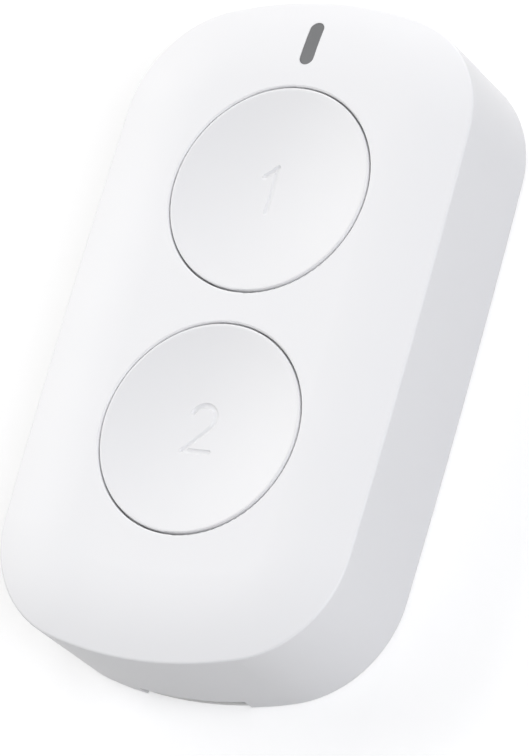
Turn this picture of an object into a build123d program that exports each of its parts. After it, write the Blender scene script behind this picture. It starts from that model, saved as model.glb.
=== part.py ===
from build123d import *

import os
from math import asin, cos, radians, sin, sqrt

# Smart button: a two-key wireless switch that lies on its back.
# Millimetres. Z = 0 is the back face, +Z looks out of the keys, and +Y points to the indicator.

# Driving dimensions of the body's form
body_width = 43.4
body_length = 76.3
corner_radius = 13.1
side_bow = 0.42             # how far a long side swells past the outline's sharp corners
end_bow = 5.2               # how far an end swells past them
shell_wall = 1.6
face_land = 0.4             # flat face left between a key's hole and the roll of the sides
shoulder_drop = 1.3         # how far the face falls from its flat middle to the crease
crease_radius = 0.3
back_edge_radius = 0.4

# Driving dimensions of the keys
key_hole_radius = 12.1
key_web = 3.5               # face left between the two holes
key_clear = 0.95            # from the first cap's flange to the indicator's flange
key_hole_edge = 0.2
key_gap = 0.2               # all round a cap in its hole
key_travel = 0.4
cap_wall = 1.3
cap_skirt = 1.2
cap_edge_radius = 0.15
cap_rim_land = 0.15
dish_depth = 1.2
flange_reach = 0.9          # how far a cap's flange goes under the face past the hole
flange_thickness = 0.6
flange_gap = 0.05
turn_rib_width = 1.4        # rib between the flanges that keeps the caps from turning
turn_rib_bite = 0.8         # depth of the slot that it takes in each flange
turn_rib_gap = 0.3
post_radius = 1.6
post_length = 0.4
digit_height = 5.2          # between the middles of the lines
digit_width = 3.0           # of the 2's bowl
digit_x = {1: -0.2, 2: -0.45}
digit_y = 0.28              # both from the cap's middle
flag_width = 1.35           # the short slanting line of the 1
flag_drop = 1.1
bowl_start = 158.0          # bearing where the arc of the 2 begins, in degrees
base_reach = 0.25           # how far the 2's base passes its bowl
digit_cutter = 0.34         # radius of the round bottom of the lines
digit_depth = 0.14          # in the middle of the dish

# Driving dimensions of the indicator
indicator_inset = 5.4       # from the body's end to the middle of the window
indicator_width = 1.65
indicator_length = 5.2
indicator_fit = 0.04
indicator_lip = 0.8         # flange inside the face, wider than the window all round
indicator_lip_thickness = 1.0
led_length = 1.6
led_width = 0.8
led_height = 0.6
led_gap = 0.3

# Driving dimensions of the cover
cover_thickness = 1.4
cover_gap = 0.12
cover_rim_thickness = 0.9
cover_rim_height = 2.0
pry_width = 13.2
pry_slot = 0.65             # how far the notch passes the cover's plate
pry_side_gap = 0.15
pry_setback = 0.35          # how far the tab stays inside the body's end
pry_tab_thickness = 0.5     # thinner than the plate, so that a slot is left over it

# Driving dimensions of the cell and its bay
cell_diameter = 10.5
cell_length = 44.5
cell_nub_diameter = 3.8
cell_nub_length = 0.8
cell_edge = 0.4
cell_lift = 0.15            # under the cell
cell_air = 0.5              # between the cell and a pressed cap
cell_side_gap = 0.3
cell_middle_y = 0.0
bay_wall = 0.8
bay_height_over_axis = 3.0
contact_sheet = 0.3
contact_gap = 0.05
contact_width = 9.0
contact_spring_room = 1.6
contact_spring_span = 6.4
contact_tail_width = 1.6
contact_foot_length = 1.2

# Driving dimensions of the frame, the board and the screws
frame_gap = 0.3
frame_lift = 0.2
frame_floor = 1.2
frame_wall = 1.0
board_gap = 0.5
board_thickness = 1.0
screw_inset_x = 9.2         # from the body's side
screw_inset_y = 7.45        # from the body's end
screw_radius = 1.0
screw_hole_gap = 0.1
screw_thread_fit = 0.02
screw_bite = 4.0
screw_tip_gap = 0.4
screw_head_radius = 1.9
screw_head_height = 1.3
screw_head_gap = 0.2
screw_drive_radius = 0.9
screw_drive_depth = 0.7
boss_radius = 2.4

# Driving dimensions of the parts on the board
switch_size = 6.0
switch_body_height = 3.3
switch_cover_thickness = 0.2
plunger_radius = 1.7
plunger_fit = 0.05
plunger_proud = 0.8
plunger_root = 1.0
plunger_floor_gap = 0.2
plunger_touch_gap = 0.02
lead_width = 0.7
lead_reach = 1.1
lead_thickness = 0.2
lead_pitch = 4.5
radio_size = 6.0
radio_height = 0.9
crystal_length = 3.2
crystal_width = 2.5
crystal_height = 0.7
antenna_length = 9.0
antenna_width = 2.0
antenna_height = 1.2
passive_length = 1.0
passive_width = 0.5
passive_height = 0.5
passive_pitch = 1.6
passive_rows = 2
passive_columns = 4
part_spacing = 1.5          # clear board between two neighbouring parts
quarter_turn = 90.0

# Heights, stacked up from the back face
cell_axis_z = cover_thickness + cell_lift + cell_diameter / 2
flange_bottom_z = cell_axis_z + cell_diameter / 2 + cell_air + key_travel
flange_top_z = flange_bottom_z + flange_thickness
ceiling_z = flange_top_z + flange_gap
body_height = ceiling_z + shell_wall
dish_z = body_height - dish_depth
plunger_top_z = dish_z - cap_wall - post_length
switch_top_z = plunger_top_z - plunger_proud
board_top_z = switch_top_z - switch_cover_thickness - switch_body_height
board_z = board_top_z - board_thickness
frame_z = cover_thickness + frame_lift
frame_floor_z = frame_z + frame_floor
bay_top_z = cell_axis_z + bay_height_over_axis
led_top_z = board_top_z + led_height

# Places in plan
indicator_y = body_length / 2 - indicator_inset
shoulder_reach = body_width / 2 - key_hole_radius - face_land
shoulder_radius = (shoulder_reach ** 2 + shoulder_drop ** 2) / (2 * shoulder_drop)
cap_radius = key_hole_radius - key_gap
flange_radius = key_hole_radius + flange_reach
first_key_y = indicator_y - indicator_length / 2 - indicator_lip - key_clear - flange_radius
key_y = {1: first_key_y, 2: first_key_y - 2 * key_hole_radius - key_web}
key_middle_y = (key_y[1] + key_y[2]) / 2
dish_radius = cap_radius - cap_edge_radius - cap_rim_land
dish_sphere = (dish_radius ** 2 + dish_depth ** 2) / (2 * dish_depth)
dish_centre_z = dish_z + dish_sphere
cover_inset = shell_wall + cover_gap
frame_inset = cover_inset + cover_rim_thickness + frame_gap
board_inset = shell_wall + board_gap
cell_x = frame_inset + bay_wall + cell_side_gap + cell_diameter / 2 - body_width / 2
bay_half_width = cell_diameter / 2 + cell_side_gap
bay_plus_y = cell_middle_y + cell_length / 2 + contact_sheet + 2 * contact_gap
bay_minus_y = cell_middle_y - cell_length / 2 - contact_spring_room - 2 * contact_gap
screw_x = body_width / 2 - screw_inset_x
screw_y = body_length / 2 - screw_inset_y
screw_places = [Pos(sx * screw_x, sy * screw_y) for sx in (-1, 1) for sy in (-1, 1)]
parts_x = (switch_size / 2 + body_width / 2 - board_inset) / 2


def sharp_outline():
    """Body outline in plan, with bowed sides and ends and its corners still sharp."""
    x = body_width / 2 - side_bow
    y = body_length / 2 - end_bow
    sides = [
        SagittaArc((x, -y), (x, y), -side_bow),
        SagittaArc((x, y), (-x, y), -end_bow),
        SagittaArc((-x, y), (-x, -y), -side_bow),
        SagittaArc((-x, -y), (x, -y), -end_bow),
    ]
    return make_face(sides)


outline = fillet(sharp_outline().vertices(), corner_radius)


def inset_outline(inset):
    """Body outline moved inwards by inset, all round: each of its arcs with a smaller radius."""
    arcs = []
    for arc in outline.edges():
        points = [arc @ 0, arc @ 0.5, arc @ 1]
        arcs.append(ThreePointArc(*[p + (arc.arc_center - p).normalized() * inset for p in points]))
    return make_face(arcs)


def prism(face, low, high):
    """Straight solid over a face in plan, between two heights."""
    return Pos(0, 0, low) * extrude(face, high - low)


def block(x0, x1, y0, y1, z0, z1):
    """Box between two corners."""
    middle = Pos((x0 + x1) / 2, (y0 + y1) / 2, (z0 + z1) / 2)
    return middle * Box(abs(x1 - x0), abs(y1 - y0), abs(z1 - z0))


def post(x, y, radius, low, high):
    """Upright cylinder between two heights."""
    return Pos(x, y, (low + high) / 2) * Cylinder(radius, high - low)


def edge_section(inset, low, top):
    """Half section of the body's edge: wall at x = 0, crease, roll of the face, back edge."""
    reach = shoulder_reach - inset
    radius = shoulder_radius - inset
    centre_z = top - radius
    crease_z = centre_z + sqrt((radius - crease_radius) ** 2 - (reach - crease_radius) ** 2)
    turn = asin((reach - crease_radius) / (radius - crease_radius))
    roll_end = (radius * sin(turn) - reach, centre_z + radius * cos(turn))
    roll_middle = (radius * sin(turn / 2) - reach, centre_z + radius * cos(turn / 2))
    corner_turn = (turn + radians(quarter_turn)) / 2
    crease_middle = (crease_radius * (sin(corner_turn) - 1), crease_z + crease_radius * cos(corner_turn))
    back_middle = back_edge_radius * (sqrt(0.5) - 1)
    back_turn = (back_middle, low - back_middle)
    return make_face([
        ThreePointArc((-reach, top), roll_middle, roll_end),
        ThreePointArc(roll_end, crease_middle, (0, crease_z)),
        Line((0, crease_z), (0, low + back_edge_radius)),
        ThreePointArc((0, low + back_edge_radius), back_turn, (-back_edge_radius, low)),
        Polyline((-back_edge_radius, low), (-reach, low), (-reach, top)),
    ])


def body_form(inset, low):
    """The body's outer form with every wall and the face moved inwards by inset.

    Each arc of the outline carries the edge's section round its own centre, about a flat core.
    """
    top = body_height - inset
    section = edge_section(inset, low, top)
    form = prism(inset_outline(shoulder_reach), low, top)
    for arc in outline.edges():
        centre = arc.arc_center
        start = (arc @ 0) - centre
        end = (arc @ 1) - centre
        sweep_angle = start.get_signed_angle(end, Vector(0, 0, 1))
        if sweep_angle < 0:
            start = end
        upright = Plane(origin=centre, x_dir=start, z_dir=start.cross(Vector(0, 0, 1)))
        profile = upright * (Pos(arc.radius - inset, 0) * section)
        form += revolve(profile, Axis(centre, (0, 0, 1)), abs(sweep_angle))
    return form


def pill(width, length):
    """Slot shape along Y in plan."""
    return Rot(0, 0, 90) * SlotOverall(length, width)


def straight_cut(*points):
    """Round-bottomed cut along straight lines in plan, with a ball at each point."""
    cut = Pos(*points[0]) * Sphere(digit_cutter)
    for start, end in zip(points, points[1:]):
        along = Vector(*end) - Vector(*start)
        rod = Pos(0, 0, along.length / 2) * Cylinder(digit_cutter, along.length)
        cut += Plane(origin=start, z_dir=along) * rod
        cut += Pos(*end) * Sphere(digit_cutter)
    return cut


def digit_cut(number):
    """Thin-line digit as a round-bottomed cut, centred on its own middle."""
    half_w = digit_width / 2
    half_h = digit_height / 2
    if number == 1:
        return straight_cut((-flag_width, half_h - flag_drop), (0, half_h), (0, -half_h))
    # The 2 is an arc, a straight line that leaves it as a tangent, and a base
    bowl_middle = Vector(0, half_h - half_w)
    foot = Vector(-half_w, -half_h)
    to_bowl = bowl_middle - foot
    run = sqrt(to_bowl.length ** 2 - half_w ** 2)
    lean = to_bowl.get_angle(Vector(1, 0)) - Vector(run, half_w).get_angle(Vector(1, 0))
    leave = foot + Vector(run, 0).rotate(Axis.Z, lean)
    upright = Plane(origin=bowl_middle, x_dir=leave - bowl_middle, z_dir=foot - leave)
    ring = upright * (Pos(half_w, 0) * Circle(digit_cutter))
    bowl = revolve(ring, Axis(bowl_middle, (0, 0, 1)), bowl_start + quarter_turn - lean)
    tip = bowl_middle + Vector(half_w, 0).rotate(Axis.Z, bowl_start)
    lines = straight_cut(tuple(leave), tuple(foot), (half_w + base_reach, -half_h))
    return lines + bowl + straight_cut(tuple(tip))


def front_housing():
    """Shell: crowned face and side walls, open at the back, with four screw bosses inside."""
    shell = body_form(0, 0) - body_form(shell_wall, -shell_wall)
    boss_room = body_form(shell_wall / 2, 0)
    for place in screw_places:
        boss = place * post(0, 0, boss_radius, board_top_z, body_height)
        shell += boss & boss_room
        shell -= place * post(0, 0, screw_radius + screw_thread_fit, 0, board_top_z + screw_bite + screw_tip_gap)
    for y in key_y.values():
        shell -= post(0, y, key_hole_radius, ceiling_z - shell_wall, body_height + shell_wall)
    rib_low = key_y[2] + flange_radius - turn_rib_bite + turn_rib_gap
    rib_high = key_y[1] - flange_radius + turn_rib_bite - turn_rib_gap
    shell += block(-turn_rib_width / 2, turn_rib_width / 2, rib_low, rib_high,
                   flange_bottom_z, body_height - shell_wall / 2)
    rims = shell.edges().filter_by(GeomType.CIRCLE).filter_by(
        lambda e: abs(e.radius - key_hole_radius) < key_gap and abs(e.center().Z - body_height) < key_gap)
    shell = fillet(rims, key_hole_edge)
    slot = pill(indicator_width + 2 * indicator_fit, indicator_length + 2 * indicator_fit)
    shell -= Pos(0, indicator_y) * prism(slot, board_top_z, body_height + shell_wall)
    notch_top = cover_thickness + pry_slot
    notch_y = -body_length / 2 + shell_wall + end_bow
    notch = block(-pry_width / 2, pry_width / 2, -body_length, notch_y, -shell_wall, notch_top)
    return shell - (notch - prism(inset_outline(shell_wall), -shell_wall, notch_top))


def rear_cover():
    """Plate inset in the back of the shell, with a push-in rim and a tab in the pry notch."""
    plate = prism(inset_outline(cover_inset), 0, cover_thickness + cover_rim_height)
    plate -= prism(inset_outline(cover_inset + cover_rim_thickness), cover_thickness, body_height)
    half = pry_width / 2 - pry_side_gap
    reach_y = -body_length / 2 + shell_wall + end_bow
    tab = block(-half, half, -body_length, reach_y, 0, pry_tab_thickness)
    return plate + (tab & prism(inset_outline(pry_setback), 0, pry_tab_thickness))


def button_cap(number):
    """Dished round cap: a turned profile with a flange under the face, a post and a grooved digit."""
    skirt_inner = cap_radius - cap_skirt
    under_sphere = dish_sphere + cap_wall
    under_skirt_z = dish_centre_z - sqrt(under_sphere ** 2 - skirt_inner ** 2)
    half_r = dish_radius / 2
    dish_half = (half_r, dish_centre_z - sqrt(dish_sphere ** 2 - half_r ** 2))
    half_u = skirt_inner / 2
    under_half = (half_u, dish_centre_z - sqrt(under_sphere ** 2 - half_u ** 2))
    edge_x = cap_radius - cap_edge_radius
    edge_z = body_height - cap_edge_radius
    profile = make_face([
        ThreePointArc((0, dish_z), dish_half, (dish_radius, body_height)),
        Line((dish_radius, body_height), (edge_x, body_height)),
        RadiusArc((edge_x, body_height), (cap_radius, edge_z), cap_edge_radius),
        Polyline((cap_radius, edge_z), (cap_radius, flange_top_z), (flange_radius, flange_top_z),
                 (flange_radius, flange_bottom_z), (skirt_inner, flange_bottom_z),
                 (skirt_inner, under_skirt_z)),
        ThreePointArc((skirt_inner, under_skirt_z), under_half, (0, dish_z - cap_wall)),
        Line((0, dish_z - cap_wall), (0, dish_z)),
    ])
    cap = revolve(Plane.XZ * profile, Axis.Z)
    cap += post(0, 0, post_radius, plunger_top_z + plunger_touch_gap, dish_z - cap_wall / 2)
    slot_half = turn_rib_width / 2 + turn_rib_gap
    slot_side = 1 if key_y[number] < key_middle_y else -1
    cap -= block(-slot_half, slot_half, slot_side * (flange_radius - turn_rib_bite), slot_side * body_width,
                 flange_bottom_z, flange_top_z)
    cap -= Pos(digit_x[number], digit_y, dish_z - digit_depth + digit_cutter) * digit_cut(number)
    return Pos(0, key_y[number]) * cap


def light_guide():
    """Grey indicator window: a pill-shaped column, flush with the face, with a flange inside."""
    column = prism(pill(indicator_width, indicator_length), led_top_z + led_gap, body_height)
    foot = pill(indicator_width + 2 * indicator_lip, indicator_length + 2 * indicator_lip)
    flange_top = body_height - shell_wall
    flange = prism(foot, flange_top - shoulder_drop - indicator_lip_thickness, flange_top)
    flange = Pos(0, indicator_y) * flange & body_form(shell_wall + indicator_fit, 0)
    column = Pos(0, indicator_y) * column & body_form(indicator_fit, 0)
    return column + flange


def inner_frame():
    """Chassis under the board: floor, edge wall, cell bay and four hollow screw pillars."""
    room = prism(inset_outline(frame_inset), frame_z, bay_top_z)
    frame = prism(inset_outline(frame_inset), frame_z, board_z)
    frame -= prism(inset_outline(frame_inset + frame_wall), frame_floor_z, body_height)
    left = cell_x - bay_half_width
    right = cell_x + bay_half_width
    frame += block(left - bay_wall, right + bay_wall, bay_minus_y - bay_wall, bay_plus_y + bay_wall,
                   frame_z, bay_top_z) & room
    frame -= block(left, right, bay_minus_y, bay_plus_y, 0, body_height)
    for place in screw_places:
        frame += (place * post(0, 0, boss_radius, frame_z, board_z)) & room
        frame -= place * post(0, 0, screw_radius + screw_hole_gap, 0, body_height)
        frame -= place * post(0, 0, screw_head_radius + screw_head_gap, 0, frame_z + screw_head_height)
    return frame


def circuit_board():
    """Board that reaches round the cell bay, clamped between the frame's pillars and the bosses."""
    board = prism(inset_outline(board_inset), board_z, board_top_z)
    edge_x = cell_x + bay_half_width + bay_wall + board_gap
    board -= block(-body_width, edge_x, bay_minus_y - bay_wall - board_gap,
                   bay_plus_y + bay_wall + board_gap, 0, body_height)
    for place in screw_places:
        board -= place * post(0, 0, screw_radius + screw_hole_gap, 0, body_height)
    return board


def frame_screws():
    """Four pan-head screws, put in from the back."""
    tip_z = board_top_z + screw_bite
    seat_z = frame_z + screw_head_height
    screw = post(0, 0, screw_radius, frame_z, tip_z)
    screw += post(0, 0, screw_head_radius, frame_z, seat_z)
    cross = Box(2 * screw_drive_radius, screw_radius / 2, 2 * screw_drive_depth)
    screw -= Pos(0, 0, frame_z) * (cross + Rot(0, 0, 90) * cross)
    return Compound([place * solid for place in screw_places for solid in screw.solids()])


def switch_body(number):
    """Square tact switch housing with a round well for its plunger."""
    half = switch_size / 2
    low = switch_top_z - switch_cover_thickness
    body = block(-half, half, -half, half, board_top_z, low)
    well_z = low - plunger_root - key_travel - plunger_floor_gap
    return Pos(0, key_y[number]) * (body - post(0, 0, plunger_radius + plunger_fit, well_z, body_height))


def switch_cover(number):
    """Sheet metal lid of the tact switch, with a hole for the plunger."""
    half = switch_size / 2
    lid = block(-half, half, -half, half, switch_top_z - switch_cover_thickness, switch_top_z)
    return Pos(0, key_y[number]) * (lid - post(0, 0, plunger_radius + plunger_fit, 0, body_height))


def switch_leads(number):
    """Four solder leads beside the switch body."""
    half = switch_size / 2
    leads = []
    for side in (-1, 1):
        for x in (-lead_pitch / 2, lead_pitch / 2):
            lead = block(x - lead_width / 2, x + lead_width / 2, side * half, side * (half + lead_reach),
                         board_top_z, board_top_z + lead_thickness)
            leads.append(Pos(0, key_y[number]) * lead)
    return Compound([solid for lead in leads for solid in lead.solids()])


def switch_plunger(number):
    """Round plunger that the cap's post pushes."""
    low = switch_top_z - switch_cover_thickness - plunger_root
    return post(0, key_y[number], plunger_radius, low, plunger_top_z)


def on_board(x, y, length_x, length_y, height):
    """Rectangular part that stands on the board, centred on x and y."""
    return block(x - length_x / 2, x + length_x / 2, y - length_y / 2, y + length_y / 2,
                 board_top_z, board_top_z + height)


radio_y = key_middle_y
crystal_y = radio_y - (radio_size + crystal_width) / 2 - part_spacing
passive_span = (passive_columns - 1) * passive_pitch + passive_length
passive_y = crystal_y - crystal_width / 2 - part_spacing - passive_span / 2
antenna_y = radio_y + (radio_size + antenna_length) / 2 + part_spacing


def passive_parts():
    """Rows of small resistors and capacitors."""
    solids = []
    for row in range(passive_rows):
        for column in range(passive_columns):
            x = parts_x + (row - (passive_rows - 1) / 2) * passive_pitch
            y = passive_y + (column - (passive_columns - 1) / 2) * passive_pitch
            solids += on_board(x, y, passive_width, passive_length, passive_height).solids()
    return Compound(solids)


def battery_cell():
    """AAA cell along Y: a can with eased ends and a nub at +Y."""
    can_length = cell_length - cell_nub_length
    can = Cylinder(cell_diameter / 2, can_length)
    can = chamfer(can.edges(), cell_edge)
    nub = Pos(0, 0, cell_length / 2) * Cylinder(cell_nub_diameter / 2, cell_nub_length)
    cell = Pos(0, 0, -cell_nub_length / 2) * can + Pos(0, 0, -cell_nub_length / 2) * nub
    return Pos(cell_x, cell_middle_y, cell_axis_z) * Rot(-90, 0, 0) * cell


def contact(wall_y, outward):
    """Sheet contact hung over the bay's end wall: plate, strap over the wall, tail and foot."""
    plate_y = wall_y - outward * contact_gap
    inner_y = plate_y - outward * contact_sheet
    half = contact_width / 2
    strap_z = bay_top_z + contact_gap
    top_z = strap_z + contact_sheet
    plate = block(cell_x - half, cell_x + half, inner_y, plate_y, frame_floor_z + contact_gap, top_z)
    tail_half = contact_tail_width / 2
    tail_x = cell_x + half - tail_half
    tail_y = wall_y + outward * (bay_wall + board_gap + contact_gap)
    end_y = tail_y + outward * contact_sheet
    strap = block(tail_x - tail_half, tail_x + tail_half, plate_y, end_y, strap_z, top_z)
    tail = block(tail_x - tail_half, tail_x + tail_half, tail_y, end_y, board_top_z, top_z)
    foot = block(tail_x - tail_half, tail_x + tail_half, tail_y, tail_y + outward * contact_foot_length,
                 board_top_z, board_top_z + contact_sheet)
    return plate + strap + tail + foot


def positive_contact():
    """Flat contact that faces the cell's nub."""
    return contact(bay_plus_y, 1)


def negative_contact():
    """Contact whose bowed leaf presses on the flat end of the cell."""
    hung = contact(bay_minus_y, -1)
    leaf_y = bay_minus_y + contact_gap + contact_sheet / 2
    tip_y = cell_middle_y - cell_length / 2 - contact_gap - contact_sheet / 2
    half_span = contact_spring_span / 2
    arc = ThreePointArc((leaf_y, cell_axis_z - half_span), (tip_y, cell_axis_z), (leaf_y, cell_axis_z + half_span))
    leaf = extrude(Plane.YZ * trace(arc, contact_sheet), contact_width / 4, both=True)
    return hung + Pos(cell_x, 0, 0) * leaf


nodes = {
    "front_housing": front_housing(),
    "rear_cover": rear_cover(),
    "light_guide": light_guide(),
    "inner_frame": inner_frame(),
    "frame_screws": frame_screws(),
    "circuit_board": circuit_board(),
    "led_chip": on_board(0, indicator_y, led_width, led_length, led_height),
    "radio_chip": on_board(parts_x, radio_y, radio_size, radio_size, radio_height),
    "crystal": on_board(parts_x, crystal_y, crystal_length, crystal_width, crystal_height),
    "chip_antenna": on_board(parts_x, antenna_y, antenna_width, antenna_length, antenna_height),
    "passive_parts": passive_parts(),
    "battery_cell": battery_cell(),
    "positive_contact": positive_contact(),
    "negative_contact": negative_contact(),
}
for number in key_y:
    nodes[f"button_cap_{number}"] = button_cap(number)
    nodes[f"switch_{number}_body"] = switch_body(number)
    nodes[f"switch_{number}_cover"] = switch_cover(number)
    nodes[f"switch_{number}_leads"] = switch_leads(number)
    nodes[f"switch_{number}_plunger"] = switch_plunger(number)

os.makedirs("parts", exist_ok=True)
for name, shape in nodes.items():
    export_step(shape, f"parts/{name}.step")
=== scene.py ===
"""Looks of a two-key smart button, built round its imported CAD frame.

Everything is in metres, in the CAD's frame: the back lies on Z = 0, +Z looks out of the keys,
and +Y points to the indicator window.
"""
import logging
from collections.abc import Callable, Sequence
from dataclasses import dataclass, field
from enum import Enum

import bpy
import numpy as np
from mathutils import Matrix, Vector


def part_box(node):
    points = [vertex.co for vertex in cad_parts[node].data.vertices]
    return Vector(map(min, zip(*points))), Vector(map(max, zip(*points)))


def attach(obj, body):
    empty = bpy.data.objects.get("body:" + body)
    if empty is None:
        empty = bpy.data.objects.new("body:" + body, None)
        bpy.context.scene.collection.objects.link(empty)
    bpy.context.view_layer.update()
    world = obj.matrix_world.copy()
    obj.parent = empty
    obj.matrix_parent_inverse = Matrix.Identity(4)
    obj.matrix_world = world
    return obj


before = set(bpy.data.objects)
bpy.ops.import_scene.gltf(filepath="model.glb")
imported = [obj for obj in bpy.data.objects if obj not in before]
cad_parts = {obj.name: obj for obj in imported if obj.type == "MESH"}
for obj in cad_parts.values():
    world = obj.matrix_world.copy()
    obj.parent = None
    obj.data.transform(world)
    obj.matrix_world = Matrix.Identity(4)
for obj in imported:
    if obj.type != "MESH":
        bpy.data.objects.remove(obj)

MM = 0.001
NOISE_LOW, NOISE_HIGH = 0.3, 0.7    # most values of a noise pattern lie between these
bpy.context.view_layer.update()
log = logging.getLogger("smart_button")

Socket = bpy.types.NodeSocket
Add = Callable[..., Socket]
Triple = tuple[float, float, float]


class Body(Enum):
    """Moving bodies that the scene's own pieces ride on."""

    HOUSING = "housing"
    CELL = "cell"


# Colours and nodes

def srgb(code: str) -> tuple[float, float, float, float]:
    """Turn an sRGB hex colour into linear red, green, blue and an alpha of 1.

    A channel c from 0 to 1 becomes c / 12.92 up to 0.04045, and ((c + 0.055) / 1.055) ** 2.4 above.

    Args:
        code: colour as "#RRGGBB".

    Returns:
        The linear colour.
    """
    channels = [int(code[i:i + 2], 16) / 255 for i in (1, 3, 5)]
    red, green, blue = [c / 12.92 if c <= 0.04045 else ((c + 0.055) / 1.055) ** 2.4 for c in channels]
    return red, green, blue, 1.0


def per_metre(millimetres: float) -> float:
    """Scale of a pattern whose features are this many millimetres apart."""
    return 1.0 / (millimetres * MM)


def nodes_of(tree: bpy.types.NodeTree) -> Add:
    """Empty a node tree and hand back the function that adds nodes to it.

    Args:
        tree: the tree of a material or a world.

    Returns:
        The function.
    """
    tree.nodes.clear()

    def add(kind: str, *values: object, out: str = "", **named: object) -> Socket | None:
        """Add one node with its settings, values and links.

        Args:
            kind: the node's type, without its "ShaderNode".
            values: values or links of its first inputs, in order.
            out: identifier of the output to hand back, or nothing for the first one.
            named: settings by their lower-case names, and inputs by their identifiers, with _ for a space.

        Returns:
            The output, or None where the node has none.
        """
        node = tree.nodes.new("ShaderNode" + kind)
        for name in filter(str.islower, named):
            setattr(node, name, named[name])
        inputs = {socket.identifier.replace(" ", "_"): socket for socket in node.inputs}
        pairs = [*zip(node.inputs, values), *((inputs[n], v) for n, v in named.items() if not n.islower())]
        for socket, value in pairs:
            if isinstance(value, Socket):
                tree.links.new(value, socket)
            else:
                socket.default_value = value
        outputs = {socket.identifier: socket for socket in node.outputs}
        return outputs[out] if out else next(iter(outputs.values()), None)

    return add


class Finish:
    """A surface finish that makes its own material."""

    name = "finish"

    def build(self, add: Add) -> Socket:
        """Add the finish's nodes, and hand back its shader."""
        raise NotImplementedError

    def material(self) -> bpy.types.Material:
        """The finish's material, made when it is first asked for."""
        found = bpy.data.materials.get(self.name)
        if found is None:
            found = bpy.data.materials.new(self.name)
            found.use_nodes = True
            add = nodes_of(found.node_tree)
            add("OutputMaterial", Surface=self.build(add))
        return found


# Finishes

@dataclass(frozen=True)
class MouldedAbs(Finish):
    """White ABS from a spark-eroded mould: an even satin skin that softens every highlight."""

    name: str = "moulded_white_abs"
    colour: str = "#E9E9EA"
    cloud: str = "#E7E7E8"
    roughness: float = 0.42
    roughness_play: float = 0.03
    grain_mm: float = 0.26          # drawn a little coarser than the mould's real grit, so that it shows
    grain_depth_mm: float = 0.0009
    cloud_mm: float = 16.0
    light_depth: float = 0.10       # share of the light that enters the plastic and comes out nearby
    grain_octaves: float = 3.0
    grain_harshness: float = 0.55
    cloud_octaves: float = 2.0
    refraction: float = 1.53
    glow_mm: float = 0.5
    glow_tint: Triple = (1.0, 0.95, 0.9)

    def build(self, add: Add) -> Socket:
        """Grain in the relief, and wide clouds in tone and gloss where the melt cooled unevenly."""
        place = add("TexCoord", out="Object")
        grain = add("TexNoise", Vector=place, Scale=per_metre(self.grain_mm), Detail=self.grain_octaves,
                    Roughness=self.grain_harshness)
        clouds = add("TexNoise", Vector=place, Scale=per_metre(self.cloud_mm), Detail=self.cloud_octaves)
        tone = add("Mix", data_type="RGBA", Factor_Float=clouds, A_Color=srgb(self.colour),
                   B_Color=srgb(self.cloud), out="Result_Color")
        gloss = add("MapRange", Value=clouds, To_Min=self.roughness - self.roughness_play,
                    To_Max=self.roughness + self.roughness_play)
        relief = add("Bump", Strength=1.0, Distance=self.grain_depth_mm * MM, Height=grain)
        return add("BsdfPrincipled", Base_Color=tone, Roughness=gloss, Normal=relief, IOR=self.refraction,
                   Subsurface_Weight=self.light_depth, Subsurface_Radius=self.glow_tint,
                   Subsurface_Scale=self.glow_mm * MM)


@dataclass(frozen=True)
class FrostedWindow(Finish):
    """Smoked polycarbonate with a frosted face: dull grey, with faint streaks along the window."""

    name: str = "frosted_grey_polycarbonate"
    colour: str = "#656667"
    streak: str = "#5E5F61"
    frost_mm: float = 0.15
    frost_depth_mm: float = 0.0008
    streak_mm: float = 0.9
    streak_stretch: Triple = (1.0, 0.25, 1.0)
    roughness_from: float = 0.32
    roughness_to: float = 0.42
    refraction: float = 1.585

    def build(self, add: Add) -> Socket:
        """Frost in the relief, and flow streaks along the window in the tone."""
        place = add("TexCoord", out="Object")
        drawn = add("Mapping", Vector=place, Scale=self.streak_stretch)
        frost = add("TexNoise", Vector=place, Scale=per_metre(self.frost_mm))
        streaks = add("TexNoise", Vector=drawn, Scale=per_metre(self.streak_mm))
        tone = add("Mix", data_type="RGBA", Factor_Float=streaks, A_Color=srgb(self.colour),
                   B_Color=srgb(self.streak), out="Result_Color")
        gloss = add("MapRange", Value=frost, To_Min=self.roughness_from, To_Max=self.roughness_to)
        relief = add("Bump", Strength=1.0, Distance=self.frost_depth_mm * MM, Height=frost)
        return add("BsdfPrincipled", Base_Color=tone, Roughness=gloss, IOR=self.refraction, Normal=relief)


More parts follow.
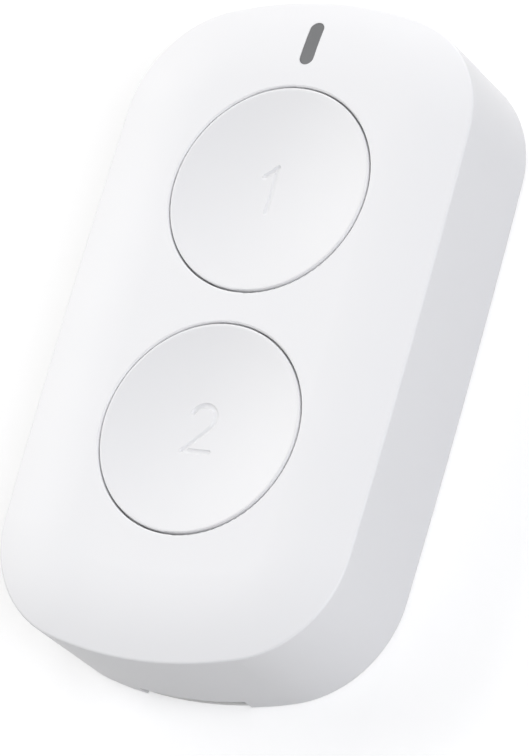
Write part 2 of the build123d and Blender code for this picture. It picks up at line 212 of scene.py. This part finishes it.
@dataclass(frozen=True)
class SolderMask(Finish):
    """Green solder mask over copper on glass laminate: gloss, raised tracks and tan cut edges."""

    name: str = "green_solder_mask"
    mask: str = "#14502F"
    over_copper: str = "#1E6E41"
    laminate: str = "#A8935F"
    glass: str = "#8C7A4C"
    track_spacing_mm: float = 4.2
    track_disorder: float = 0.8
    track_share: float = 0.05       # of the spacing
    track_flank: float = 1.3        # where a track's flank ends, over where it starts
    track_rise_mm: float = 0.03
    fibre_mm: float = 0.3
    fibre_squeeze: Triple = (1.0, 1.0, 3.0)
    edge_upright: float = 0.5       # a face whose normal stands up by less is a cut edge
    mask_roughness: float = 0.26
    edge_roughness: float = 0.75

    def build(self, add: Add) -> Socket:
        """Tracks are the borders of straight-sided cells; laminate shows where the face turns sideways."""
        place = add("TexCoord", out="Object")
        border = add("TexVoronoi", Vector=place, Scale=per_metre(self.track_spacing_mm),
                     Randomness=self.track_disorder, feature="DISTANCE_TO_EDGE", out="Distance")
        track = add("MapRange", Value=border, From_Min=self.track_share,
                    From_Max=self.track_flank * self.track_share, To_Min=1.0, To_Max=0.0)
        normal = add("NewGeometry", out="Normal")
        upright = add("Math", add("SeparateXYZ", normal, out="Z"), operation="ABSOLUTE")
        edge = add("Math", upright, self.edge_upright, operation="LESS_THAN")
        fibres = add("TexNoise", Vector=add("Mapping", Vector=place, Scale=self.fibre_squeeze),
                     Scale=per_metre(self.fibre_mm), Detail=1.0)
        face = add("Mix", data_type="RGBA", Factor_Float=track, A_Color=srgb(self.mask),
                   B_Color=srgb(self.over_copper), out="Result_Color")
        cut = add("Mix", data_type="RGBA", Factor_Float=fibres, A_Color=srgb(self.laminate),
                  B_Color=srgb(self.glass), out="Result_Color")
        tone = add("Mix", data_type="RGBA", Factor_Float=edge, A_Color=face, B_Color=cut, out="Result_Color")
        gloss = add("MapRange", Value=edge, To_Min=self.mask_roughness, To_Max=self.edge_roughness)
        relief = add("Bump", Strength=1.0, Distance=self.track_rise_mm * MM, Height=track)
        return add("BsdfPrincipled", Base_Color=tone, Roughness=gloss, Normal=relief)


@dataclass(frozen=True)
class PlatedMetal(Finish):
    """Rolled and plated sheet or wire: a mirror dulled by fine lines along the way that it was rolled."""

    name: str = "tinned_sheet"
    colour: str = "#C9C7C2"
    tarnish: str = "#B0AEA8"
    roughness: float = 0.32
    line_mm: float = 0.12
    stretch: Triple = (1.0, 0.08, 1.0)
    line_harshness: float = 0.6
    line_depth_mm: float = 0.0012
    smoother: float = 0.06          # how far the roughness goes below its value
    rougher: float = 0.08           # and how far above
    tarnish_mm: float = 2.5
    tarnish_octaves: float = 3.0

    def build(self, add: Add) -> Socket:
        """Lines drawn out along the rolling in gloss and relief, and a cloudy tarnish in the tone."""
        place = add("TexCoord", out="Object")
        lines = add("TexNoise", Vector=add("Mapping", Vector=place, Scale=self.stretch),
                    Scale=per_metre(self.line_mm), Roughness=self.line_harshness)
        clouds = add("TexNoise", Vector=place, Scale=per_metre(self.tarnish_mm), Detail=self.tarnish_octaves)
        tone = add("Mix", data_type="RGBA", Factor_Float=clouds, A_Color=srgb(self.colour),
                   B_Color=srgb(self.tarnish), out="Result_Color")
        gloss = add("MapRange", Value=lines, From_Min=NOISE_LOW, From_Max=NOISE_HIGH,
                    To_Min=self.roughness - self.smoother, To_Max=self.roughness + self.rougher)
        relief = add("Bump", Strength=1.0, Distance=self.line_depth_mm * MM, Height=lines)
        return add("BsdfPrincipled", Base_Color=tone, Metallic=1.0, Roughness=gloss, Normal=relief)


@dataclass(frozen=True)
class FilledResin(Finish):
    """Mineral-filled moulding resin: matt, with the sandy grain of its filler."""

    name: str = "black_filled_resin"
    colour: str = "#1D1D1F"
    speck: str = "#2B2B2E"
    roughness: float = 0.58
    grain_mm: float = 0.18
    grain_octaves: float = 4.0
    grain_harshness: float = 0.65
    grain_depth_mm: float = 0.004
    speck_from: float = 0.45        # grain where a speck starts to show
    speck_to: float = 0.75          # grain where it shows in full
    roughness_play: float = 0.05

    def build(self, add: Add) -> Socket:
        """Specks of filler in tone, gloss and relief."""
        place = add("TexCoord", out="Object")
        grain = add("TexNoise", Vector=place, Scale=per_metre(self.grain_mm), Detail=self.grain_octaves,
                    Roughness=self.grain_harshness)
        share = add("MapRange", Value=grain, From_Min=self.speck_from, From_Max=self.speck_to)
        tone = add("Mix", data_type="RGBA", Factor_Float=share, A_Color=srgb(self.colour),
                   B_Color=srgb(self.speck), out="Result_Color")
        gloss = add("MapRange", Value=grain, To_Min=self.roughness - self.roughness_play,
                    To_Max=self.roughness + self.roughness_play)
        relief = add("Bump", Strength=1.0, Distance=self.grain_depth_mm * MM, Height=grain)
        return add("BsdfPrincipled", Base_Color=tone, Roughness=gloss, Normal=relief)


@dataclass(frozen=True)
class FiredCeramic(Finish):
    """Fired ceramic bodies with tinned ends, one after another along Y: chalky middles, bright caps."""

    name: str = "fired_ceramic"
    colour: str = "#C9C5B6"
    shade: str = "#B5B1A2"
    tin: str = "#C4C2BC"
    middle_mm: float = 0.0          # Y of one body's middle
    length_mm: float = 9.0
    cap_mm: float = 0.8
    pitch_mm: float = 100.0         # from one body's middle to the next
    grain_mm: float = 0.2
    grain_depth_mm: float = 0.003
    body_roughness: float = 0.42
    tin_roughness: float = 0.3

    def build(self, add: Add) -> Socket:
        """The distance from the nearest body's middle, by a wrapped Y, parts each body from its caps."""
        place = add("TexCoord", out="Object")
        half = self.pitch_mm * MM / 2
        along = add("Math", add("SeparateXYZ", place, out="Y"), self.middle_mm * MM, operation="SUBTRACT")
        wrapped = add("Math", along, -half, half, operation="WRAP")
        cap = add("Math", add("Math", wrapped, operation="ABSOLUTE"),
                  (self.length_mm / 2 - self.cap_mm) * MM, operation="GREATER_THAN")
        grain = add("TexNoise", Vector=place, Scale=per_metre(self.grain_mm))
        body = add("Mix", data_type="RGBA", Factor_Float=grain, A_Color=srgb(self.colour),
                   B_Color=srgb(self.shade), out="Result_Color")
        tone = add("Mix", data_type="RGBA", Factor_Float=cap, A_Color=body, B_Color=srgb(self.tin),
                   out="Result_Color")
        gloss = add("MapRange", Value=cap, To_Min=self.body_roughness, To_Max=self.tin_roughness)
        relief = add("Bump", Strength=1.0, Distance=self.grain_depth_mm * MM, Height=grain)
        return add("BsdfPrincipled", Base_Color=tone, Metallic=cap, Roughness=gloss, Normal=relief)


@dataclass(frozen=True)
class PrintedSleeve(Finish):
    """Film shrunk on the cell's can: slate coat and pale plus end, scuffed along, with bare steel ends."""

    name: str = "printed_cell_sleeve"
    coat: str = "#66707D"
    band: str = "#C6CACE"
    steel: str = "#BDBCB8"
    band_from_mm: float = 9.5
    coat_from_mm: float = -21.9
    coat_to_mm: float = 21.1
    print_edge_mm: float = 0.05
    band_metal: float = 0.6
    scuff_mm: float = 0.5
    scuff_stretch: Triple = (1.0, 0.2, 1.0)
    scuff_octaves: float = 3.0
    scuff_harshness: float = 0.6
    scuff_depth_mm: float = 0.003
    roughness_from: float = 0.24
    roughness_to: float = 0.36

    def build(self, add: Add) -> Socket:
        """The place along the cell chooses coat, band or steel, with a soft edge between the prints."""
        place = add("TexCoord", out="Object")
        along = add("SeparateXYZ", place, out="Y")
        band = add("MapRange", Value=along, From_Min=(self.band_from_mm - self.print_edge_mm) * MM,
                   From_Max=(self.band_from_mm + self.print_edge_mm) * MM)
        bare = add("Math", add("Math", along, self.coat_to_mm * MM, operation="GREATER_THAN"),
                   add("Math", along, self.coat_from_mm * MM, operation="LESS_THAN"), operation="MAXIMUM")
        scuffs = add("TexNoise", Vector=add("Mapping", Vector=place, Scale=self.scuff_stretch),
                     Scale=per_metre(self.scuff_mm), Detail=self.scuff_octaves,
                     Roughness=self.scuff_harshness)
        printed = add("Mix", data_type="RGBA", Factor_Float=band, A_Color=srgb(self.coat),
                      B_Color=srgb(self.band), out="Result_Color")
        tone = add("Mix", data_type="RGBA", Factor_Float=bare, A_Color=printed, B_Color=srgb(self.steel),
                   out="Result_Color")
        metal = add("Math", bare, add("Math", band, self.band_metal, operation="MULTIPLY"),
                    operation="MAXIMUM")
        gloss = add("MapRange", Value=scuffs, From_Min=NOISE_LOW, From_Max=NOISE_HIGH,
                    To_Min=self.roughness_from, To_Max=self.roughness_to)
        relief = add("Bump", Strength=1.0, Distance=self.scuff_depth_mm * MM, Height=scuffs)
        return add("BsdfPrincipled", Base_Color=tone, Metallic=metal, Roughness=gloss, Normal=relief)


@dataclass(frozen=True)
class FrozenSolder(Finish):
    """Solder as it froze: bright, with the slight frost of its grains."""

    name: str = "frozen_solder"
    colour: str = "#C6C6C4"
    frost: str = "#A9A9A6"
    grain_mm: float = 0.3
    grain_depth_mm: float = 0.006
    roughness_from: float = 0.2
    roughness_to: float = 0.34

    def build(self, add: Add) -> Socket:
        """Grains in tone, gloss and relief."""
        place = add("TexCoord", out="Object")
        grain = add("TexNoise", Vector=place, Scale=per_metre(self.grain_mm))
        tone = add("Mix", data_type="RGBA", Factor_Float=grain, A_Color=srgb(self.colour),
                   B_Color=srgb(self.frost), out="Result_Color")
        gloss = add("MapRange", Value=grain, To_Min=self.roughness_from, To_Max=self.roughness_to)
        relief = add("Bump", Strength=1.0, Distance=self.grain_depth_mm * MM, Height=grain)
        return add("BsdfPrincipled", Base_Color=tone, Metallic=1.0, Roughness=gloss, Normal=relief)


@dataclass(frozen=True)
class PaperSweep(Finish):
    """Pale paper under the button: it bounces light, and looks white to the camera beyond the shadow."""

    name: str = "pale_paper_sweep"
    colour: str = "#CECECE"
    fibre: str = "#CBCBCB"
    fibre_mm: float = 1.5
    fibre_octaves: float = 3.0
    lift: float = 0.45              # the paper's own light under the button
    far_lift: float = 1.0
    near_mm: float = 50.0
    far_mm: float = 260.0

    def build(self, add: Add) -> Socket:
        """A matt paper with a light of its own for camera, mirror and glass rays alone.

        That light grows from lift to far_lift with the distance from the button's middle, so that the
        paper stays white where the lamps fall off.
        """
        place = add("TexCoord", out="Object")
        fibres = add("TexNoise", Vector=place, Scale=per_metre(self.fibre_mm), Detail=self.fibre_octaves)
        tone = add("Mix", data_type="RGBA", Factor_Float=fibres, A_Color=srgb(self.colour),
                   B_Color=srgb(self.fibre), out="Result_Color")
        away = add("VectorMath", place, operation="LENGTH", out="Value")
        level = add("MapRange", Value=away, From_Min=self.near_mm * MM, From_Max=self.far_mm * MM,
                    To_Min=self.lift, To_Max=self.far_lift, interpolation_type="SMOOTHSTEP")
        lift = add("Math", seen_directly(add), level, operation="MULTIPLY")
        return add("AddShader", add("BsdfDiffuse", Color=tone), add("Emission", Strength=lift))


def seen_directly(add: Add) -> Socket:
    """1 for a ray from the camera, a mirror or glass, and 0 for a ray that lights something."""
    mirrored = add("Math", add("LightPath", out="Is Camera Ray"), add("LightPath", out="Is Glossy Ray"),
                   operation="MAXIMUM")
    return add("Math", mirrored, add("LightPath", out="Is Transmission Ray"), operation="MAXIMUM")


SHELL_ABS = MouldedAbs()
# The caps' white and their clouds are a shade darker than the shell's. This is painted shade for the dishes,
# not a different plastic.
CAP_ABS_PAINTED_SHADE = MouldedAbs("moulded_white_abs_caps", "#E5E5E6", "#E3E3E4", 0.40, 0.02, 0.22, 0.0007, 13.0, 0.10)
COVER_ABS = MouldedAbs("moulded_white_abs_cover", "#E6E6E4", "#E2E2E0", 0.48, 0.04, 0.4, 0.003, 12.0, 0.08)
FRAME_ABS = MouldedAbs("moulded_natural_abs", "#DAD9D4", "#D2D1CB", 0.5, 0.04, 0.5, 0.004, 9.0, 0.05)
PLUNGER_NYLON = FilledResin("plunger_nylon", "#BBB7AA", "#AAA699", 0.5, 0.25)
SWITCH_RESIN = FilledResin()
CHIP_RESIN = FilledResin("chip_resin", "#232426", "#313236", 0.5, 0.12)
LED_RESIN = FilledResin("led_resin", "#DAD6A8", "#CFCB9A", 0.3, 0.2)
TINNED_SHEET = PlatedMetal()
CAN_METAL = PlatedMetal("plated_can", "#CFCDC8", "#BDBBB5", 0.26, 0.1, (0.08, 1.0, 1.0))
SPRING_METAL = PlatedMetal("nickel_plated_spring", "#CDC9C0", "#BAB6AC", 0.24, 0.15, (1.0, 1.0, 0.08))
SCREW_METAL = PlatedMetal("zinc_plated_screw", "#A9ABB0", "#95979C", 0.34, 0.15, (1.0, 1.0, 0.3))


# Meshes

def dress(name: str, finish: Finish) -> None:
    """Give a CAD node its finish.

    Args:
        name: the node.
        finish: what it is made of.
    """
    for material_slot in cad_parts[name].material_slots:
        material_slot.material = finish.material()
    log.info("dressed %s in %s", name, finish.name)


def place_in_scene(name: str, data: bpy.types.ID) -> bpy.types.Object:
    """Make an object of a mesh, a lamp or a camera, and link it to the scene."""
    made = bpy.data.objects.new(name, data)
    bpy.context.scene.collection.objects.link(made)
    return made


def make_mesh(name: str, points: np.ndarray, faces: Sequence[Sequence[int]],
              finish: Finish) -> bpy.types.Object:
    """Make an object of points and faces, at the origin.

    Args:
        name: the object's name.
        points: corners in metres, a row each.
        faces: each face's corner numbers, anticlockwise as seen from outside.
        finish: what it is made of.

    Returns:
        The object.
    """
    mesh = bpy.data.meshes.new(name)
    mesh.from_pydata(points.tolist(), [], faces)
    mesh.materials.append(finish.material())
    log.info("made %s, faces: %d", name, len(faces))
    return place_in_scene(name, mesh)


def skin(rings: np.ndarray) -> tuple[np.ndarray, list[list[int]]]:
    """Close shapes from rings of points, with a flat face over each first and last ring.

    Ring r and point c of a shape make the quad (r, c), (r, c + 1), (r + 1, c + 1), (r + 1, c), and the
    last point joins the first. The rings run anticlockwise as seen against the way they are stacked.

    Args:
        rings: points by shape, ring, place in the ring and coordinate.

    Returns:
        All points, and the corner numbers of every face.
    """
    shapes, stack, around, _ = rings.shape
    number = np.arange(shapes * stack * around).reshape(shapes, stack, around)
    after = np.roll(number, -1, axis=2)
    quads = np.stack([number[:, :-1], after[:, :-1], after[:, 1:], number[:, 1:]], -1).reshape(-1, 4)
    caps = np.concatenate([number[:, 0, ::-1], number[:, -1]])
    return rings.reshape(-1, 3), quads.tolist() + caps.tolist()


# Sub-assemblies

@dataclass
class FrontShell:
    """Crowned white shell with its indicator window."""

    shell: str = "front_housing"
    window: str = "light_guide"

    def build(self) -> None:
        """Dress the shell and the window."""
        dress(self.shell, SHELL_ABS)
        dress(self.window, FrostedWindow())


@dataclass
class PressKeys:
    """The two dished caps."""

    caps: tuple[str, ...] = ("button_cap_1", "button_cap_2")

    def build(self) -> None:
        """Dress the caps."""
        for cap in self.caps:
            dress(cap, CAP_ABS_PAINTED_SHADE)


@dataclass
class BackCover:
    """Plate that closes the back."""

    plate: str = "rear_cover"

    def build(self) -> None:
        """Dress the plate."""
        dress(self.plate, COVER_ABS)


@dataclass
class Chassis:
    """Inner frame with its screws."""

    moulding: str = "inner_frame"
    screws: str = "frame_screws"

    def build(self) -> None:
        """Dress the frame and the screws."""
        dress(self.moulding, FRAME_ABS)
        dress(self.screws, SCREW_METAL)


@dataclass
class BoardAssembly:
    """Board with its switches, its other parts and the solder that holds them."""

    lead_width: float = 0.7 * MM
    bead_reach: float = 0.4 * MM
    bead_rise: float = 0.3 * MM
    bead_edge: float = 0.02 * MM
    bead_flare: float = 0.15
    bead_steps: int = 7
    passive_length_mm: float = 1.0
    passive_cap_mm: float = 0.24
    passive_pitch_mm: float = 1.6

    def build(self) -> None:
        """Dress the board's parts and solder the switches down."""
        dress("circuit_board", SolderMask())
        dress("radio_chip", CHIP_RESIN)
        dress("crystal", CAN_METAL)
        dress("led_chip", LED_RESIN)
        low, high = (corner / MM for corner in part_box("chip_antenna"))
        dress("chip_antenna", FiredCeramic("antenna_ceramic", middle_mm=(low.y + high.y) / 2,
                                           length_mm=high.y - low.y))
        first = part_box("passive_parts")[0].y / MM + self.passive_length_mm / 2
        dress("passive_parts", FiredCeramic("passive_ceramic", "#5B4A3A", "#4C3D30", middle_mm=first,
                                            length_mm=self.passive_length_mm, cap_mm=self.passive_cap_mm,
                                            pitch_mm=self.passive_pitch_mm))
        for number in (1, 2):
            dress(f"switch_{number}_body", SWITCH_RESIN)
            dress(f"switch_{number}_cover", TINNED_SHEET)
            dress(f"switch_{number}_leads", TINNED_SHEET)
            dress(f"switch_{number}_plunger", PLUNGER_NYLON)
            self.solder(number)

    def solder(self, number: int) -> None:
        """Flow a concave bead of solder from the end of each of a switch's four leads to the board.

        With t going from 0 at the lead to 1 at the bead's foot, its height is rise * (1 - t) ** 2, never
        less than bead_edge, and its half width is lead_width * (0.5 + flare * t).

        Args:
            number: the switch.
        """
        low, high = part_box(f"switch_{number}_leads")
        t = np.linspace(0.0, 1.0, self.bead_steps)
        height = np.maximum(self.bead_rise * (1 - t) ** 2, self.bead_edge)
        half = self.lead_width * (0.5 + self.bead_flare * t)
        across = np.stack([-half, half, half, -half], -1)
        up = np.stack([0 * t, 0 * t, height, height], -1)
        out = np.repeat(self.bead_reach * t[:, None], across.shape[1], 1)
        ring = np.stack([across, out, up], -1)
        beads = []
        for end, side in ((high.y, 1), (low.y, -1)):
            for x in (low.x + self.lead_width / 2, high.x - self.lead_width / 2):
                turned = ring * (-side, side, 1)
                beads.append(turned + (x, end, low.z))
        points, faces = skin(np.array(beads))
        piece = make_mesh(f"switch_{number}_solder", points, faces, FrozenSolder())
        piece.data.polygons.foreach_set("use_smooth", [True] * len(faces))
        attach(piece, Body.HOUSING.value)


@dataclass
class PowerBay:
    """Cell, its insulating washer and the two contacts that it sits between."""

    shoulder_mm: float = 0.4
    nub_length_mm: float = 0.8
    washer_inner: float = 2.1 * MM
    washer_outer: float = 4.2 * MM
    washer_rise: float = 0.12 * MM
    washer_bevel: float = 0.04 * MM
    around: int = 64

    def build(self) -> None:
        """Dress the cell and the contacts, and lay the washer round the nub."""
        low, high = (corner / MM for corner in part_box("battery_cell"))
        can_top = high.y - self.nub_length_mm
        dress("battery_cell", PrintedSleeve(coat_from_mm=low.y + self.shoulder_mm,
                                            coat_to_mm=can_top - self.shoulder_mm))
        dress("positive_contact", SPRING_METAL)
        dress("negative_contact", SPRING_METAL)
        self.lay_washer(can_top * MM)

    def lay_washer(self, seat_y: float) -> None:
        """Ring with bevelled edges on the cell's shoulder, round its nub.

        A section of points (radius, height) is carried round the cell's axis: at the angle a, its point
        lies at radius * (cos a, sin a) from the axis, and height along it.

        Args:
            seat_y: where the cell's flat end lies.
        """
        low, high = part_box("battery_cell")
        side = self.washer_rise - self.washer_bevel
        section = np.array([
            (self.washer_inner, 0.0), (self.washer_outer, 0.0), (self.washer_outer, side),
            (self.washer_outer - self.washer_bevel, self.washer_rise),
            (self.washer_inner + self.washer_bevel, self.washer_rise), (self.washer_inner, side)])
        angle = np.linspace(0.0, 2 * np.pi, self.around, endpoint=False)
        radius, height = section.T
        x = (low.x + high.x) / 2 + radius[:, None] * np.cos(angle)
        z = (low.z + high.z) / 2 + radius[:, None] * np.sin(angle)
        y = np.repeat(seat_y + height[:, None], self.around, 1)
        rings = np.stack([x, y, z], -1)
        number = np.arange(rings.shape[0] * self.around).reshape(rings.shape[:2])
        below = np.roll(number, -1, 0)
        quads = np.stack([number, below, np.roll(below, -1, 1), np.roll(number, -1, 1)], -1).reshape(-1, 4)
        washer = make_mesh("cell_washer", rings.reshape(-1, 3), quads.tolist(), FRAME_ABS)
        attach(washer, Body.CELL.value)


# Studio

class Lamp(Enum):
    """The studio's softboxes, by where they stand."""

    BACK = "back_softbox"
    LEFT = "left_softbox"
    FRONT = "front_softbox"


@dataclass(frozen=True)
class Softbox:
    """A square lamp that looks at the button."""

    bearing: float                  # degrees from +X towards +Y
    height: float                   # degrees above the paper
    watts: float
    colour: str
    side: float = 0.6
    distance: float = 1.0

    def build(self, name: str) -> None:
        """Hang the lamp, its face turned to the button.

        It stands at distance * (cos h cos b, cos h sin b, sin h), with b its bearing and h its height.

        Args:
            name: the lamp's name.
        """
        bearing, height = np.radians((self.bearing, self.height))
        place = Vector((np.cos(height) * np.cos(bearing), np.cos(height) * np.sin(bearing), np.sin(height)))
        data = bpy.data.lights.new(name, "AREA")
        data.shape = "SQUARE"
        data.size = self.side
        data.energy = self.watts
        data.color = srgb(self.colour)[:3]
        lamp = place_in_scene(name, data)
        lamp.location = place * self.distance
        lamp.rotation_euler = (-place).to_track_quat("-Z", "Y").to_euler()
        log.info("hung %s", name)


@dataclass
class Studio:
    """Paper, lamps, sky, and the camera at the photograph's viewing angle."""

    focal_px: float = 5047.4
    turn: Triple = (2.6733974, 0.2593645, -0.7265728)
    shift_mm: Triple = (3.1903704, -0.2723635, 547.3686012)
    frame_px: tuple[int, int] = (529, 756)
    sensor_mm: float = 36.0
    near_clip: float = 0.01
    far_clip: float = 20.0
    sweep_side: float = 6.0
    sweep_drop: float = 0.02 * MM
    sky: float = 0.27               # strength of the sky for rays that light something
    sky_colour: str = "#FFFFFF"
    lamps: dict[Lamp, Softbox] = field(default_factory=lambda: {
        Lamp.BACK: Softbox(100.0, 15.0, 5.8, "#FFFEFD"),
        Lamp.LEFT: Softbox(165.0, 35.0, 4.1, "#FFFEFC"),
        Lamp.FRONT: Softbox(345.0, 45.0, 6.8, "#F9FAFF"),
    })

    def build(self) -> None:
        """Lay the paper, hang the lamps, light the sky and place the camera."""
        bpy.context.scene.view_settings.view_transform = "Standard"
        self.lay_paper()
        for lamp, softbox in self.lamps.items():
            softbox.build(lamp.value)
        self.light_sky()
        self.place_camera()

    def lay_paper(self) -> None:
        """Square of paper just under the back."""
        half = self.sweep_side / 2
        below = -self.sweep_drop
        corners = np.array([(-half, -half, below), (half, -half, below), (half, half, below),
                            (-half, half, below)])
        paper = make_mesh("paper_sweep", corners, [(0, 1, 2, 3)], PaperSweep())

    def light_sky(self) -> None:
        """Even light from all round, which camera, mirror and glass rays see at full strength."""
        world = bpy.data.worlds.new("studio_sky")
        bpy.context.scene.world = world
        world.use_nodes = True
        add = nodes_of(world.node_tree)
        level = add("MapRange", Value=seen_directly(add), To_Min=self.sky)
        add("OutputWorld", Surface=add("Background", Color=srgb(self.sky_colour), Strength=level))

    def place_camera(self) -> None:
        """Set the camera from the turn and shift that carry the object's frame into the view's.

        The turn is an axis times its angle. The view has x to the right, y down and z ahead, so the
        camera stands at -R^T t, and its axes are the columns of R^T with y and z reversed. The lens is
        the focal length in pixels, times the sensor, over the frame's longer side.
        """
        axis = Vector(self.turn)
        out_of_view = Matrix.Rotation(axis.length, 3, axis.normalized()).transposed()
        data = bpy.data.cameras.new("photo_camera")
        data.sensor_width = self.sensor_mm
        data.lens = self.focal_px * self.sensor_mm / max(self.frame_px)
        data.clip_start = self.near_clip
        data.clip_end = self.far_clip
        camera = place_in_scene("photo_camera", data)
        pose = (out_of_view @ Matrix.Diagonal((1, -1, -1))).to_4x4()
        pose.translation = -(out_of_view @ (Vector(self.shift_mm) * MM))
        camera.matrix_world = pose
        bpy.context.scene.camera = camera


def main() -> None:
    """Build the studio and every sub-assembly in order."""
    logging.basicConfig(level=logging.INFO)
    for part in (Studio(), FrontShell(), PressKeys(), BackCover(), Chassis(), BoardAssembly(), PowerBay()):
        part.build()
        log.info("built %s", type(part).__name__)


if __name__ == "__main__":
    main()
